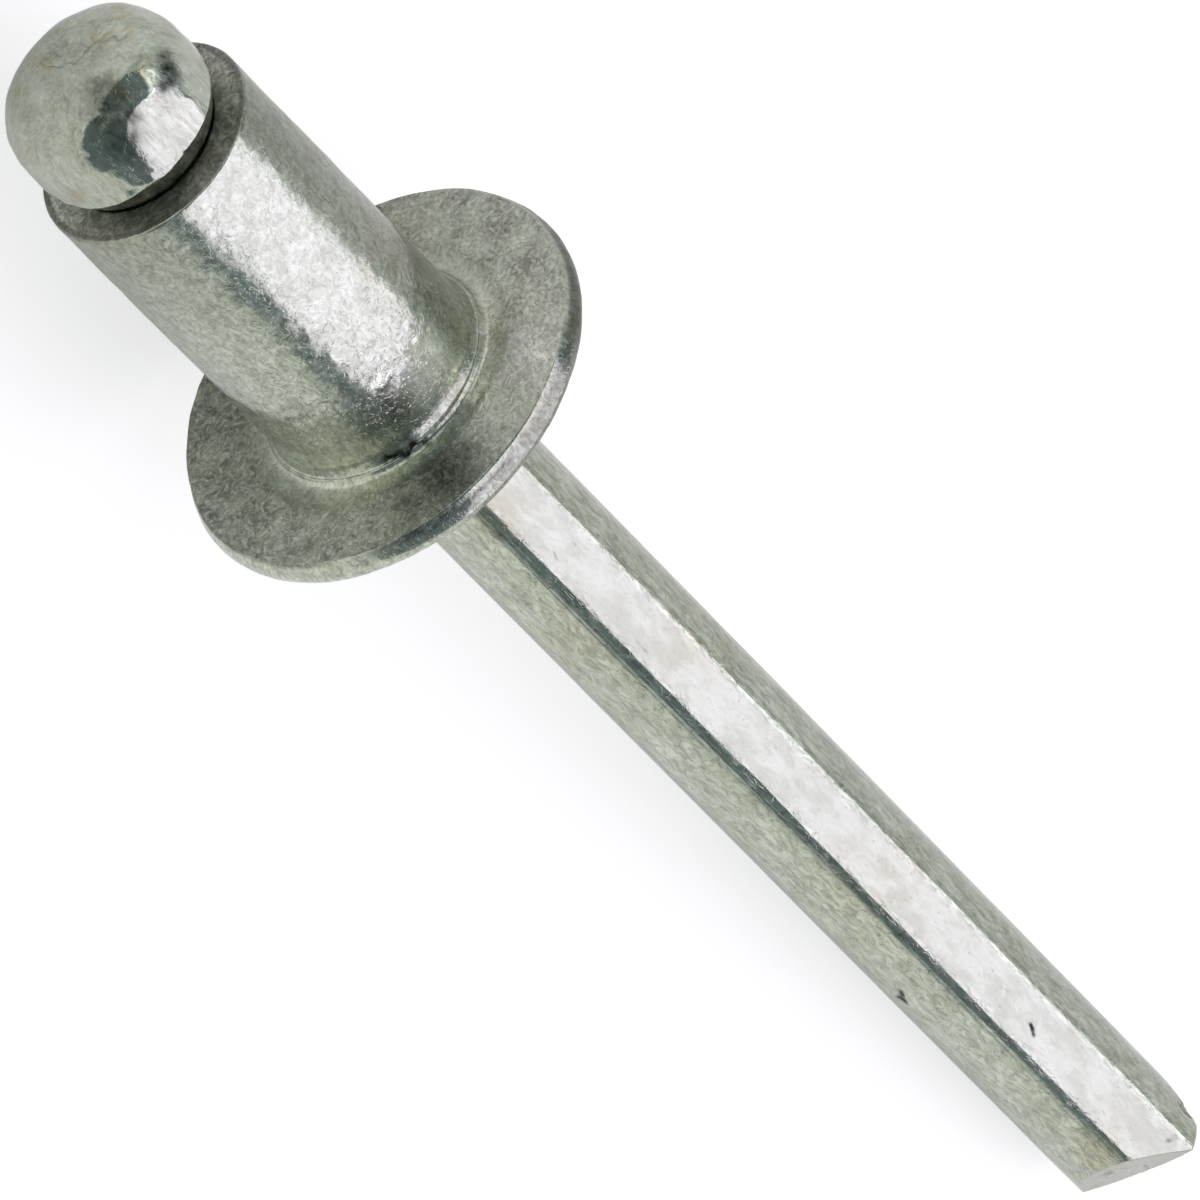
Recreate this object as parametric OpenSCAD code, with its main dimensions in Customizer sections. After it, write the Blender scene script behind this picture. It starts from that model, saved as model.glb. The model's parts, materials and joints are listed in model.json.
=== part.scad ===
// Blind rivet of 4.8 mm, unset, lying as it comes to rest on a flat surface
// It touches the surface with the rim of its flange and with the cut end of its mandrel
// Each piece is drawn upright about the Z axis, with the flange's seat at zero and the blind end up,
// and resting() then lays it down: blind end towards -X and raised, tail towards +X

/* [Tube of the body] */
// Outside diameter of the tube
body_d = 4.8; // [4:0.1:6]
// Length of the tube from the flange's seat to its blind end
body_len = 8.45; // [6:0.1:20]
// Radius that rounds the outer edge of the blind end
end_round = 0.16; // [0.05:0.01:0.3]
// Radial clearance between the mandrel and the bore
bore_gap = 0.04; // [0.02:0.01:0.1]
// Size of the chamfers at both mouths of the bore
mouth = 0.12; // [0.05:0.01:0.2]

/* [Flange of the body] */
// Largest diameter of the flange
flange_d = 9.24; // [9.04:0.02:11]
// Diameter of the flat seat, where it breaks down to the rim
seat_d = 8.98; // [8:0.02:9.1]
// Thickness of the flange at the bore
flange_t = 1.5; // [1.3:0.05:2]
// Radius of the domed outer face
face_r = 10.8; // [9:0.1:16]
// Radius that rounds the rim
rim_r = 0.34; // [0.2:0.02:0.4]

/* [Root between tube and flange] */
// Height of the small pressed lip above the seat
lip_h = 0.38; // [0.3:0.01:0.5]
// How far the lip stands out from the tube
lip_w = 0.07; // [0.03:0.01:0.1]
// Length of the lip's slope back to the tube
lip_slope = 0.1; // [0.05:0.01:0.2]
// Diameter at which the hollow root runs out into the flat seat
root_d = 6.3; // [6.1:0.05:7]

/* [Head of the mandrel] */
// Largest diameter of the head
head_d = 4.12; // [3.8:0.02:4.6]
// Height of the head above the tube's end
head_h = 2.7; // [2:0.05:3]
// Radius of the crown on top of the head
crown_r = 4.8; // [4:0.1:8]
// Radius of the shoulder between crown and side
shoulder_r = 1.12; // [0.7:0.02:1.2]
// Diameter of the ring on which the head bears against the tube's end
bearing_d = 3.6; // [3.4:0.05:3.7]
// Height of the head's tapered underside
taper_h = 0.5; // [0.2:0.02:0.6]
// Radius that rounds the edge below the head's side
lower_round = 0.14; // [0.05:0.01:0.2]

/* [Shank of the mandrel] */
// Diameter of the mandrel's wire
shank_d = 2.94; // [2.7:0.02:3.1]
// Length of the mandrel from the flange's seat to the ridge of its cut end
shank_len = 30.4; // [20:0.1:40]
// Diameter of the neck that breaks when the rivet is set
neck_d = 2; // [1.6:0.05:2.4]
// Distance from the head's bearing ring down to the middle of the neck
neck_at = 1.3; // [1:0.05:2]
// Length of the neck's narrowest part
neck_len = 0.3; // [0.1:0.05:0.5]
// Slope of the two cones beside the neck, from the axis
neck_slope = 45; // [35:1:60]

/* [Pinched end of the mandrel] */
// Slope of the bevel that faces up, from a square cut
upper_bevel = 59; // [35:1:62]
// Slope of the bevel that faces down, from a square cut
lower_bevel = 58; // [35:1:62]
// Width of the blunt ridge between the bevels
ridge_w = 0.2; // [0.1:0.02:0.5]
// How far the ridge lies off the axis, towards the bevel that faces up
ridge_off = 0.29; // [-0.4:0.01:0.4]
// Radius by which the ridge bows out at its middle
ridge_r = 3.3; // [2:0.1:8]
// Turn of the bevels about the mandrel, from straight up and down
cut_turn = -32; // [-80:1:80]

/* [Hidden] */
$fn = 96;

// Steps of one drawn arc
arc_steps = 10;
// Room by which a cutter stands clear of what it cuts
over = 0.5;

body_r = body_d / 2;
bore_r = shank_d / 2 + bore_gap;
shank_r = shank_d / 2;
seat_r = seat_d / 2;
flange_r = flange_d / 2;
root_edge_r = root_d / 2;

// Middle of the rim's rounding, which touches the dome of the outer face from inside
dome_z = sqrt(pow(face_r, 2) - pow(bore_r + mouth, 2)) - flange_t;
rim_c = [flange_r - rim_r, dome_z - sqrt(pow(face_r - rim_r, 2) - pow(flange_r - rim_r, 2))];
// Angle at which the line from the seat's edge touches the rounding
rim_reach = [seat_r, 0] - rim_c;
rim_from = atan2(rim_reach[1], rim_reach[0]) - acos(min(1, rim_r / norm(rim_reach)));
// Angle at which the rounding runs out into the dome
rim_to = -atan2(dome_z - rim_c[1], rim_c[0]);

// The hollow root is one arc, level at the seat and ending at the lip
lip_r = body_r + lip_w;
root_in = root_edge_r - lip_r;
root_r = (pow(root_in, 2) + pow(lip_h, 2)) / (2 * lip_h);

// Middles of the crown and of the shoulder of the head, the shoulder touching crown and side
crown_z = body_len + head_h - crown_r;
shoulder_c = [head_d / 2 - shoulder_r,
    crown_z + sqrt(pow(crown_r - shoulder_r, 2) - pow(head_d / 2 - shoulder_r, 2))];
crown_edge = atan2(shoulder_c[0], shoulder_c[1] - crown_z);

// Depth of one cone beside the neck
cone_h = (shank_r - neck_d / 2) / tan(neck_slope);
neck_z = body_len - neck_at;

// How far the rim and the pinched end reach below the axis when the axis leans by an angle
function rim_drop(lean) = -rim_c[1] * sin(lean) + rim_c[0] * cos(lean) + rim_r;
function end_drop(lean) = (shank_len + (ridge_w / 2 - ridge_off) * tan(lower_bevel)) * sin(lean)
    + shank_r * norm([cos(lean) * cos(cut_turn) - tan(lower_bevel) * sin(lean), cos(lean) * sin(cut_turn)]);
// The angle at which both touch the surface, found by halving
function level(low, high, steps) = steps == 0 ? (low + high) / 2
    : let (mid = (low + high) / 2)
        rim_drop(mid) > end_drop(mid) ? level(mid, high, steps - 1) : level(low, mid, steps - 1);
lean = level(0, 45, 40);
// Middle of the lying rivet along X, between the head's crown and the ridge of the tail
middle_x = (shank_len * cos(lean) - crown_z * cos(lean) - crown_r) / 2;

// Points of an arc about a middle, from one angle to another
function arc(c, r, from, to) =
    [for (i = [0:arc_steps]) let (a = from + (to - from) * i / arc_steps) c + r * [cos(a), sin(a)]];

// Section of the body, from the mouth at the flange round the outside to the blind end
function body_section() = concat(
    [[bore_r, -flange_t + mouth], [bore_r + mouth, -flange_t]],
    [for (i = [1:arc_steps]) let (a = -90 + asin((bore_r + mouth) / face_r),
        s = a + (rim_to - a) * i / arc_steps) [0, dome_z] + face_r * [cos(s), sin(s)]],
    [for (i = [1:arc_steps]) let (s = rim_to + (rim_from - rim_to) * i / arc_steps)
        rim_c + rim_r * [cos(s), sin(s)]],
    [[seat_r, 0]],
    arc([root_edge_r, root_r], root_r, 270, 270 - asin(root_in / root_r)),
    [[body_r, lip_h + lip_slope]],
    arc([body_r - end_round, body_len - end_round], end_round, 0, 90),
    [[bore_r + mouth, body_len], [bore_r, body_len - mouth]]);

// Section of the head, from its bearing ring round the side to the top of the crown
function head_section() = concat(
    [[0, body_len - mouth], [shank_r, body_len - mouth], [shank_r, body_len], [bearing_d / 2, body_len]],
    arc([head_d / 2 - lower_round, body_len + taper_h + lower_round], lower_round, -40, 0),
    arc(shoulder_c, shoulder_r, 0, 90 - crown_edge),
    [for (i = [1:arc_steps]) let (s = 90 - crown_edge * (1 - i / arc_steps)) [0, crown_z] + crown_r * [cos(s), sin(s)]]);

// Tube and flange, headed from one piece of tube
module rivet_body() {
    color([0.66, 0.68, 0.66])
        resting()
            rotate_extrude() polygon(body_section());
}

// Headed wire with its breaking neck and its pinched end
module mandrel() {
    color([0.72, 0.74, 0.72])
        resting()
            difference() {
                union() {
                    rotate_extrude() polygon(head_section());
                    wire();
                }
                breaking_neck();
                pinch_cut(cut_turn, upper_bevel, ridge_w / 2 + ridge_off);
                pinch_cut(cut_turn + 180, lower_bevel, ridge_w / 2 - ridge_off);
            }
}

// The wire from inside the head to its end, which bows out at the middle of the ridge
module wire() {
    intersection() {
        translate([0, 0, -shank_len]) cylinder(h = shank_len + body_len + taper_h, r = shank_r);
        union() {
            translate([0, 0, ridge_r - shank_len]) sphere(r = ridge_r);
            translate([0, 0, ridge_r - shank_len]) cylinder(h = shank_len + body_len + head_h, r = ridge_r);
        }
    }
}

// Two cones and a short cylinder, cut round the wire inside the tube
module breaking_neck() {
    rotate_extrude()
        polygon([[neck_d / 2, neck_z - neck_len / 2], [shank_r, neck_z - neck_len / 2 - cone_h],
            [shank_r + bore_gap / 2, neck_z - neck_len / 2 - cone_h],
            [shank_r + bore_gap / 2, neck_z + neck_len / 2 + cone_h],
            [shank_r, neck_z + neck_len / 2 + cone_h], [neck_d / 2, neck_z + neck_len / 2]]);
}

// One bevel of the pinched end, which starts at the ridge's edge, a distance from the axis
module pinch_cut(turn, bevel, edge) {
    reach = (shank_r + abs(ridge_off)) / cos(bevel) + over;
    rotate([0, 0, turn])
        translate([edge, 0, -shank_len])
            rotate([0, -bevel, 0])
                translate([-over, -shank_r - over, -reach]) cube([reach + 2 * over, shank_d + 2 * over, reach]);
}

// Lays an upright piece down on the rim and the pinched end, and centres it above the origin
module resting() {
    translate([-middle_x, 0, rim_drop(lean)])
        rotate([0, lean - 90, 0]) children();
}

rivet_body();
mandrel();
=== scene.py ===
"""Dresses an unset 4.8 mm blind rivet in tumbled zinc plate and sets it on a pale studio floor."""

import json
import math
from typing import NamedTuple

import bpy
import numpy as np
from bpy.props import FloatProperty, FloatVectorProperty, IntProperty, PointerProperty
from mathutils import Matrix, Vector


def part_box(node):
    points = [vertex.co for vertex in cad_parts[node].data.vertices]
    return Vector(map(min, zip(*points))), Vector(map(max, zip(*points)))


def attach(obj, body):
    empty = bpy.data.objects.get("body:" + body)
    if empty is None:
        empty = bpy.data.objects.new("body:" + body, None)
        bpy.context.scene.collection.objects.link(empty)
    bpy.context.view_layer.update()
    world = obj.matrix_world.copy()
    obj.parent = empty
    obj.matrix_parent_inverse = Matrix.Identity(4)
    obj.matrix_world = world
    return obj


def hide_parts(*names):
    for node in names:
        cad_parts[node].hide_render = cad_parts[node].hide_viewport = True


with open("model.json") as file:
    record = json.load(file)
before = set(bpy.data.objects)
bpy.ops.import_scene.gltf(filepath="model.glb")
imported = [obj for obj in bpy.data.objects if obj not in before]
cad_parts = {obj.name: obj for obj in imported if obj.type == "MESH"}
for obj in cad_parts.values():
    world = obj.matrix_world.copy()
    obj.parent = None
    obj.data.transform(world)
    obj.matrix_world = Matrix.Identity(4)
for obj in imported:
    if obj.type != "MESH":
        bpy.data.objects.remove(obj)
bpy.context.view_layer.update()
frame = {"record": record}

bl_info = {
    "name": "Blind Rivet",
    "version": (1, 0, 0),
    "blender": (4, 5, 0),
    "location": "View3D > Sidebar > Rivet",
    "description": "Builds the tube and the mandrel of a blind rivet as worn zinc-plated surfaces",
    "category": "Object",
}

MM = 0.001


def mount(name):
    """The record's mount of that name."""
    return next(m for m in frame["record"]["mounts"] if m["name"] == name)


# The upright rivet's own axes, in which every profile is written: blind end, up and side
BLIND = np.array(mount("tube")["axis"])
UP = np.array([BLIND[2], 0.0, -BLIND[0]])
SIDE = np.array([0.0, 1.0, 0.0])
TUBE_MIDDLE = np.array(mount("tube")["pos_m"])
SEAT_FACE = np.array(mount("seat")["pos_m"])
# Middle of the flange's seat: the foot of the seat's plane on the tube's axis
SEAT = TUBE_MIDDLE - ((TUBE_MIDDLE - SEAT_FACE) @ BLIND) * BLIND
TUBE_R = mount("tube")["dims"]["r_mm"]
FLANGE_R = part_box("rivet_body")[1].y / MM

# The camera as fitted to the photograph: image size, distance from the seat's middle, angle from the
# rivet's axis, roll about the line of sight, place of the seat's middle and scale there
IMAGE = 1200
SENSOR = 36.0
CAMERA_DISTANCE = 330.0
CAMERA_FROM_AXIS = math.radians(48.711)
CAMERA_ROLL = math.radians(45.412)
SEAT_RIGHT = -4.5034
SEAT_DOWN = -4.4737
PIXELS_PER_MM = 50.146
LENS = PIXELS_PER_MM * CAMERA_DISTANCE / IMAGE * SENSOR


def camera_axes():
    """Right, down and forward of the camera, which looks down on the rivet from above its blind end."""
    forward = -math.cos(CAMERA_FROM_AXIS) * BLIND - math.sin(CAMERA_FROM_AXIS) * UP
    along = -math.sin(CAMERA_FROM_AXIS) * BLIND + math.cos(CAMERA_FROM_AXIS) * UP
    right = math.cos(CAMERA_ROLL) * along + math.sin(CAMERA_ROLL) * SIDE
    down = math.sin(CAMERA_ROLL) * along - math.cos(CAMERA_ROLL) * SIDE
    return right, down, forward


def to_world(points):
    """Points (up, side, blind end) of the upright rivet in millimetres, laid down in the frame."""
    return SEAT + MM * (points @ np.stack([UP, SIDE, BLIND]))


def to_photo(points):
    """Where the camera sees points of the upright rivet, in the photograph's pixels."""
    right, down, forward = camera_axes()
    seen = (to_world(points) - SEAT) / MM @ np.stack([right, down, forward]).T
    seen = seen + np.array([SEAT_RIGHT, SEAT_DOWN, CAMERA_DISTANCE])
    scale = PIXELS_PER_MM * CAMERA_DISTANCE / seen[:, 2:]
    return IMAGE / 2 + seen[:, :2] * scale


class RivetSizes(bpy.types.PropertyGroup):
    """Sizes of the tube and the mandrel, which repeat the frame's own."""

    tube_length: FloatProperty(
        name="Tube Length",
        description="From the flange's seat to the tube's blind end",
        default=8.45 * MM,
        unit="LENGTH",
        precision=5,
    )
    flange_thickness: FloatProperty(
        name="Flange Thickness",
        description="From the flange's seat to its outer face, at the bore",
        default=1.5 * MM,
        unit="LENGTH",
        precision=5,
    )
    head_radius: FloatProperty(
        name="Head Radius",
        description="Radius of the mandrel's head",
        default=2.06 * MM,
        unit="LENGTH",
        precision=5,
    )
    head_height: FloatProperty(
        name="Head Height",
        description="Height of the mandrel's head above the tube's end",
        default=2.7 * MM,
        unit="LENGTH",
        precision=5,
    )
    wire_radius: FloatProperty(
        name="Wire Radius",
        description="Radius of the mandrel's wire",
        default=1.47 * MM,
        unit="LENGTH",
        precision=5,
    )
    wire_length: FloatProperty(
        name="Wire Length",
        description="From the flange's seat to the ridge of the mandrel's cut end",
        default=30.4 * MM,
        unit="LENGTH",
        precision=5,
    )


class RivetFinish(bpy.types.PropertyGroup):
    """Colours of the zinc plate and of what lies on it."""

    plate_color: FloatVectorProperty(
        name="Plate Color",
        description="Clean zinc plate",
        default=(0.49, 0.535, 0.46),
        subtype="COLOR",
        size=3,
    )
    mottle_color: FloatVectorProperty(
        name="Mottle Color",
        description="The plate's darker, warmer patches",
        default=(0.415, 0.45, 0.375),
        subtype="COLOR",
        size=3,
    )
    stain_color: FloatVectorProperty(
        name="Stain Color",
        description="Yellow-brown chromate stains",
        default=(0.37, 0.33, 0.20),
        subtype="COLOR",
        size=3,
    )
    # Matt grey of the deposit, which also paints the shade of the seat, of the tube's end under the head
    # and of the head's underside; darker, it colours specks and cuts
    dull_and_shade_color: FloatVectorProperty(
        name="Dull Color",
        description="Matt grey deposit on the seat and the tube's end",
        default=(0.28, 0.29, 0.245),
        subtype="COLOR",
        size=3,
    )
    # Black for dirt in creases and pits, and for painted shade in crevices, on the seat's dark patch,
    # along the rim's dark streak and on the head's dark facets
    dirt_and_shade_color: FloatVectorProperty(
        name="Soot Color",
        description="Black dirt in creases and pits",
        default=(0.025, 0.027, 0.022),
        subtype="COLOR",
        size=3,
    )
    seed: IntProperty(name="Seed", description="Seed of every irregular form", default=7)


class RivetStudio(bpy.types.PropertyGroup):
    """Light and floor."""

    box_radiance: FloatProperty(
        name="Softbox Radiance",
        description="Radiance of the large softbox overhead",
        default=1.66,
    )
    box_color: FloatVectorProperty(
        name="Softbox Color",
        description="Tint of the softbox",
        default=(0.965, 0.845, 1.0),
        subtype="COLOR",
        size=3,
    )
    floor_color: FloatVectorProperty(
        name="Floor Color",
        description="Pale floor",
        default=(0.62, 0.62, 0.60),
        subtype="COLOR",
        size=3,
    )


def arc(middle, radius, start, end, count):
    """Points (radius, height) of an arc about a middle, from one angle to another in degrees."""
    angle = np.radians(np.linspace(start, end, count))
    return np.stack([middle[0] + radius * np.cos(angle), middle[1] + radius * np.sin(angle)], 1)


def line(start, end, count):
    """Points of a straight stretch, both ends included."""
    return np.linspace(np.array(start, float), np.array(end, float), count)


def joined(*stretches):
    """One profile from stretches that share their ends, without the doubles."""
    parts = [stretches[0]] + [s[1:] for s in stretches[1:]]
    return np.concatenate(parts)


def profile_normals(profile, closed):
    """Unit normals to the right of a profile's run, from central differences."""
    before = np.roll(profile, 1, 0)
    after = np.roll(profile, -1, 0)
    if not closed:
        before[0] = profile[0]
        after[-1] = profile[-1]
    run = after - before
    run /= np.linalg.norm(run, axis=1)[:, None]
    return np.stack([run[:, 1], -run[:, 0]], 1)


def revolved(profile, columns, closed):
    """A surface of revolution: every profile point (r, z) is carried round the axis with its normal."""
    turn = np.linspace(0.0, 2 * math.pi, columns, endpoint=False)
    normal = profile_normals(profile, closed)
    ring = np.stack([np.cos(turn), np.sin(turn)], 1)
    points = np.empty((len(profile), columns, 3))
    normals = np.empty_like(points)
    points[..., :2] = profile[:, None, :1] * ring[None]
    points[..., 2] = profile[:, None, 1]
    normals[..., :2] = normal[:, None, :1] * ring[None]
    normals[..., 2] = normal[:, None, 1]
    return points.reshape(-1, 3), normals.reshape(-1, 3)


def ring_faces(rows, columns, closed, first=0):
    """Quads between neighbouring rings of a grid, round the axis and, if closed, from end to start."""
    row = np.arange(rows if closed else rows - 1)[:, None]
    column = np.arange(columns)[None]
    after_row = (row + 1) % rows
    after_column = (column + 1) % columns
    corners = [
        row * columns + column,
        row * columns + after_column,
        after_row * columns + after_column,
        after_row * columns + column,
    ]
    return first + np.stack([c.reshape(-1) for c in np.broadcast_arrays(*corners)], 1)


def fan_faces(ring_start, columns, pole, flip):
    """Triangles from one ring to the point that closes it."""
    column = np.arange(columns)
    here = ring_start + column
    after = ring_start + (column + 1) % columns
    first, second = (after, here) if flip else (here, after)
    return np.stack([first, second, np.full(columns, pole)], 1)


def surface(name, points, quads, fans=(), layers=None):
    """A mesh object with its place in its mesh, from points of the upright rivet in millimetres, and
    with layers, which are named numbers on its points."""
    mesh = bpy.data.meshes.new(name)
    loops = np.concatenate([quads.reshape(-1)] + [f.reshape(-1) for f in fans])
    sizes = np.concatenate([np.full(len(quads), 4)] + [np.full(len(f), 3) for f in fans])
    mesh.vertices.add(len(points))
    mesh.vertices.foreach_set("co", to_world(points).astype(np.float32).reshape(-1))
    mesh.loops.add(len(loops))
    mesh.loops.foreach_set("vertex_index", loops.astype(np.int32))
    mesh.polygons.add(len(sizes))
    starts = np.concatenate([[0], np.cumsum(sizes)[:-1]])
    mesh.polygons.foreach_set("loop_start", starts.astype(np.int32))
    mesh.update(calc_edges=True)
    mesh.validate()
    mesh.shade_smooth()
    for layer, values in (layers or {}).items():
        kept = mesh.attributes.new(layer, "FLOAT", "POINT")
        kept.data.foreach_set("value", np.clip(values, 0.0, 1.0).astype(np.float32))
    piece = bpy.data.objects.new(name, mesh)
    bpy.context.scene.collection.objects.link(piece)
    return piece


def ripples(points, wavelength, seed, waves=40, spread=0.3):
    """A random field of unit variance: the sum of plane waves of random direction and phase, whose
    lengths lie round one wavelength."""
    rng = np.random.default_rng(seed)
    directions = rng.normal(size=(waves, 3))
    directions /= np.linalg.norm(directions, axis=1)[:, None]
    lengths = wavelength * np.exp(rng.normal(scale=spread, size=waves))
    phases = rng.uniform(0, 2 * math.pi, waves)
    total = np.zeros(len(points))
    for direction, length, phase in zip(directions, lengths, phases):
        total += np.cos(points @ (direction * (2 * math.pi / length)) + phase)
    return total * math.sqrt(2 / waves)


def smooth_step(value, low, high):
    """From 0 at low to 1 at high, with level ends."""
    share = np.clip((value - low) / (high - low), 0.0, 1.0)
    return share * share * (3 - 2 * share)


def between(value, rise, fall):
    """From 0 to 1 over the stretch of its rise, and back to 0 over the stretch of its fall."""
    return smooth_step(value, *rise) * (1 - smooth_step(value, *fall))


def bell(value, middle, width):
    """A bell: 1 at its middle and 1/e at its width away."""
    return np.exp(-(((value - middle) / width) ** 2))


# What each irregular form adds to the seed; the tube's ripples start at the seed itself
HEAD_SEED = 3
WIRE_SEED = 6
SEAT_CLOUD_SEED = 20
EDGE_DIRT_SEED = 21
HEAD_CLOUD_SEED = 30
# Seed, length and reach in millimetres of the ripples by which the paths of marks waver
WAVER_SEED = 50
WAVER_LENGTH = 0.35
WAVER_REACH = 0.035


class Mark(NamedTuple):
    """A crease, scratch or pit: its path in the photograph's pixels, its half width and depth in
    millimetres (a negative depth stands proud) and how black it is painted, as dirt in some marks and as
    shade in others."""

    path: tuple
    width: float
    depth: float
    dirt_and_shade: float


class Blot(NamedTuple):
    """A patch: its middle and its reach in the photograph's pixels, and its strength."""

    middle: tuple
    reach: float
    strength: float


def from_path(pixels, path):
    """Distance of pixels from a path of straight stretches."""
    nearest = np.full(len(pixels), np.inf)
    for start, end in zip(path[:-1], path[1:]):
        start = np.array(start, float)
        run = np.array(end, float) - start
        share = np.clip((pixels - start) @ run / (run @ run), 0.0, 1.0)
        gap = np.linalg.norm(pixels - start - share[:, None] * run, axis=1)
        nearest = np.minimum(nearest, gap)
    return nearest


def facing_camera(normals):
    """1 where a surface of the upright rivet faces the camera, falling to 0 as it turns edge on."""
    nearly_edge_on = 0.15
    world_normals = normals @ np.stack([UP, SIDE, BLIND])
    return smooth_step(-(world_normals @ camera_axes()[2]), 0.0, nearly_edge_on)


def marked(points, normals, marks):
    """Depth and blackness of the marks on what faces the camera, as dirt and painted shade: a bell across
    each path. The points are moved by ripples first, so that the paths waver."""
    waver = [ripples(points, WAVER_LENGTH, WAVER_SEED + axis) for axis in range(3)]
    pixels = to_photo(points + WAVER_REACH * np.stack(waver, 1))
    facing = facing_camera(normals)
    depth = np.zeros(len(points))
    dirt_and_shade = np.zeros(len(points))
    for mark in marks:
        strength = facing * bell(from_path(pixels, mark.path), 0, PIXELS_PER_MM * mark.width)
        depth += mark.depth * strength
        dirt_and_shade = np.maximum(dirt_and_shade, mark.dirt_and_shade * strength)
    return depth, dirt_and_shade


def blotted(points, normals, blots):
    """Strength of the blots on what faces the camera: the strongest of their bells."""
    pixels = to_photo(points)
    facing = facing_camera(normals)
    total = np.zeros(len(points))
    for blot in blots:
        away = np.linalg.norm(pixels - np.array(blot.middle, float), axis=1)
        total = np.maximum(total, facing * blot.strength * bell(away, 0, blot.reach))
    return total


# Marks of the tube and its flange, grooved and blackened as painted shade: the black stretch of the lip
# in the crevice at the tube's foot, and the dark streak of the rim, a painted dark reflection
BODY_SHADED_MARKS = (
    Mark(((384, 461), (402, 453), (424, 440)), 0.075, 0.02, 1.0),
    Mark(((424, 441), (445, 424), (462, 404)), 0.02, 0.012, 0.6),
    Mark(((402, 541), (420, 533), (440, 521)), 0.05, 0.01, 0.6),
    Mark(((440, 521), (480, 492), (508, 462)), 0.03, 0.01, 0.55),
)
# Yellow-brown stains of the tube and the seat
BODY_STAINS = (
    Blot((225, 470), 45, 0.45),
    Blot((350, 500), 60, 0.35),
    Blot((500, 330), 40, 0.5),
    Blot((492, 395), 45, 0.5),
    Blot((110, 222), 40, 0.4),
    Blot((400, 250), 40, 0.35),
)
# Painted shade: the dark patch of the seat, beside the black stretch of the lip, where the seat mirrors
# the shadow under the rivet
BODY_PAINTED_SHADE = (
    Blot((445, 475), 34, 0.7),
    Blot((464, 452), 18, 0.45),
    Blot((408, 503), 24, 0.4),
)
# Radius at which the flat seat ends, in millimetres
SEAT_R = 4.49
# Points round the tube and round the mandrel
TUBE_COLUMNS = 340
MANDREL_COLUMNS = 240
# The bright band of the tube and that of the wire, by turn about the axis in degrees from up towards the
# side: where it sets in and is full, and where it fades and is gone
TUBE_BAND = ((-12, -4), (32, 42))
WIRE_BAND = ((-10, -3), (28, 36))
# The foot of the tube, outwards in: two small pressed lips with a crease between them, above the groove
FOOT = ((2.59, -0.02), (2.53, 0.078), (2.49, 0.08), (2.475, 0.105), (2.42, 0.225), (TUBE_R, 0.31))


def body_profile(sizes):
    """Section of the tube and its flange in millimetres, from the bore's mouth at the flange round the
    outside to the blind end and back down the bore. The last number of a stretch counts its points."""
    length = sizes.tube_length / MM
    flange_t = sizes.flange_thickness / MM
    clearance = 0.04
    bore_r = sizes.wire_radius / MM + clearance
    mouth = 0.12
    face_r = 10.8
    rim_r = 0.34
    groove_from = 2.64
    root_r = 3.15
    groove_depth = 0.045
    groove_points = 14
    end_round = 0.08
    dome_z = math.sqrt(face_r**2 - (bore_r + mouth) ** 2) - flange_t
    rim_x = FLANGE_R - rim_r
    rim_z = dome_z - math.sqrt((face_r - rim_r) ** 2 - rim_x**2)
    reach = np.array([SEAT_R - rim_x, -rim_z])
    tangent = math.acos(min(1, rim_r / np.linalg.norm(reach)))
    rim_from = math.degrees(math.atan2(reach[1], reach[0]) - tangent)
    rim_to = -math.degrees(math.atan2(dome_z - rim_z, rim_x))
    dome_from = -90 + math.degrees(math.asin((bore_r + mouth) / face_r))
    groove = line((groove_from, 0), (root_r, 0), groove_points)
    groove[:, 1] -= groove_depth * np.sin(np.linspace(math.pi / 3, math.pi, groove_points))
    rim = arc((rim_x, rim_z), rim_r, rim_to, rim_from, 20)
    return joined(
        line((bore_r, -flange_t + mouth), (bore_r + mouth, -flange_t), 3),
        arc((0, dome_z), face_r, dome_from, rim_to, 36),
        rim,
        line(rim[-1], (SEAT_R, 0), 5),
        line((SEAT_R, 0), (root_r, 0), 30),
        groove[::-1],
        line(groove[0], FOOT[0], 3),
        line(FOOT[0], FOOT[1], 4),
        line(FOOT[1], FOOT[2], 3),
        line(FOOT[2], FOOT[3], 3),
        line(FOOT[3], FOOT[4], 4),
        line(FOOT[4], FOOT[5], 4),
        line(FOOT[5], (TUBE_R, length - end_round), 140),
        arc((TUBE_R - end_round, length - end_round), end_round, 0, 90, 9),
        line((TUBE_R - end_round, length), (bore_r + mouth, length), 12),
        line((bore_r + mouth, length), (bore_r, length - mouth), 3),
        line((bore_r, length - mouth), (bore_r, -flange_t + mouth), 6)[:-1],
    )


# Ripples that tumbling and rolling leave, each a wavelength and a height in millimetres
TUBE_WAVES = ((2.6, 0.004), (0.85, 0.0028), (0.36, 0.0014))
HEAD_WAVES = ((1.3, 0.011), (0.6, 0.004), (0.3, 0.0012))
WIRE_WAVES = ((3.5, 0.002), (1.2, 0.0006), (0.4, 0.0002))


def tumbled(points, seed, waves):
    """How far tumbling has pushed a surface in: the sum of its ripples, shifted inwards so that nothing
    stands proud of the frame's box."""
    crest = 2.2
    total = np.zeros(len(points))
    for step, (wavelength, height) in enumerate(waves):
        total += height * (ripples(points, wavelength, seed + step) - crest)
    return np.minimum(total, 0.0)


def around_axis(points):
    """Radius and height of points, and their turn about the axis in degrees from up to the side."""
    turn = np.degrees(np.arctan2(points[:, 1], points[:, 0]))
    return np.hypot(points[:, 0], points[:, 1]), points[:, 2], turn


class Zones(NamedTuple):
    """The share of each zone of the body at its points, from 0 to 1."""

    seat: np.ndarray
    end: np.ndarray
    tube: np.ndarray
    foot: np.ndarray
    lip: np.ndarray
    rim: np.ndarray
    seat_edge: np.ndarray


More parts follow.
